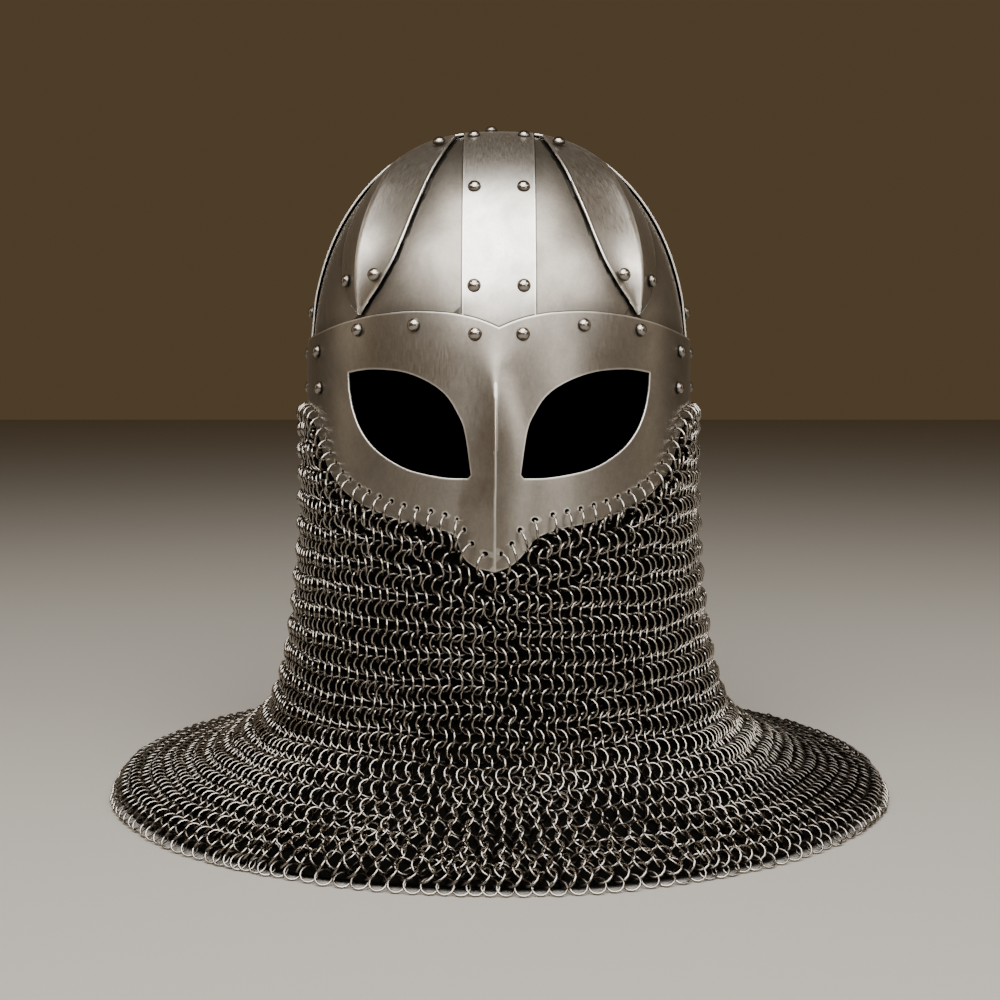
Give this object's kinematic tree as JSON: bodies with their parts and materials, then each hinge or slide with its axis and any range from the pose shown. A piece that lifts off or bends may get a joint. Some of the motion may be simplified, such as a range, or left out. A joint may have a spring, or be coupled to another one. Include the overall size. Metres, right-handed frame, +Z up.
{
  "type": "riveted spectacle helmet with chain mail aventail",
  "caption": "Domed steel helmet with riveted bands, ridged leaf plates and a spectacle face mask; a chain mail aventail hangs from its rim and flares out on the floor.",
  "frame": {"origin": "on the floor under the crown, in the middle of the hem of the mail", "axes": "+Z up; the face looks along -Y; +X is to the right of someone who looks at the face"},
  "size_m": [0.4628, 0.463, 0.3892],
  "materials": {
    "skull_steel": "satin, brushed up and down, darker smudges at the edges",
    "band_steel": "satin, brushed along the strap",
    "leaf_steel": "satin with a polished ridge",
    "mask_steel": "satin, brushed, worn bright at the cut edges",
    "rivet_steel": "smooth domed heads, soft gloss",
    "mail_steel": "oiled round wire, brown-grey"
  },
  "bodies": {
    "root": {"crest_band": "band_steel", "face_mask": "mask_steel", "leaf_back_left": "leaf_steel", "leaf_back_right": "leaf_steel", "leaf_front_left": "leaf_steel", "leaf_front_right": "leaf_steel", "mail_collar": "mail_steel", "mail_skirt": "mail_steel", "nape_band": "mask_steel", "rivet_brow_inner_left": "rivet_steel", "rivet_brow_inner_right": "rivet_steel", "rivet_brow_middle_left": "rivet_steel", "rivet_brow_middle_right": "rivet_steel", "rivet_brow_outer_left": "rivet_steel", "rivet_brow_outer_right": "rivet_steel", "rivet_cheek_lower_left": "rivet_steel", "rivet_cheek_lower_right": "rivet_steel", "rivet_cheek_upper_left": "rivet_steel", "rivet_cheek_upper_right": "rivet_steel", "rivet_crest_back_low_left": "rivet_steel", "rivet_crest_back_low_right": "rivet_steel", "rivet_crest_back_mid_left": "rivet_steel", "rivet_crest_back_mid_right": "rivet_steel", "rivet_crest_back_top_left": "rivet_steel", "rivet_crest_back_top_right": "rivet_steel", "rivet_crest_front_low_left": "rivet_steel", "rivet_crest_front_low_right": "rivet_steel", "rivet_crest_front_mid_left": "rivet_steel", "rivet_crest_front_mid_right": "rivet_steel", "rivet_crest_front_top_left": "rivet_steel", "rivet_crest_front_top_right": "rivet_steel", "rivet_crown": "rivet_steel", "rivet_leaf_back_inner_left": "rivet_steel", "rivet_leaf_back_inner_right": "rivet_steel", "rivet_leaf_back_outer_left": "rivet_steel", "rivet_leaf_back_outer_right": "rivet_steel", "rivet_leaf_back_top_left": "rivet_steel", "rivet_leaf_back_top_right": "rivet_steel", "rivet_leaf_front_inner_left": "rivet_steel", "rivet_leaf_front_inner_right": "rivet_steel", "rivet_leaf_front_outer_left": "rivet_steel", "rivet_leaf_front_outer_right": "rivet_steel", "rivet_leaf_front_top_left": "rivet_steel", "rivet_leaf_front_top_right": "rivet_steel", "rivet_nape_left": "rivet_steel", "rivet_nape_middle": "rivet_steel", "rivet_nape_right": "rivet_steel", "rivet_side_low_back_left": "rivet_steel", "rivet_side_low_back_right": "rivet_steel", "rivet_side_low_front_left": "rivet_steel", "rivet_side_low_front_right": "rivet_steel", "rivet_side_top_back_left": "rivet_steel", "rivet_side_top_back_right": "rivet_steel", "rivet_temple_lower_left": "rivet_steel", "rivet_temple_lower_right": "rivet_steel", "rivet_temple_upper_left": "rivet_steel", "rivet_temple_upper_right": "rivet_steel", "side_band_left": "band_steel", "side_band_right": "band_steel", "skull_shell": "skull_steel"}
  },
  "joints": []
}
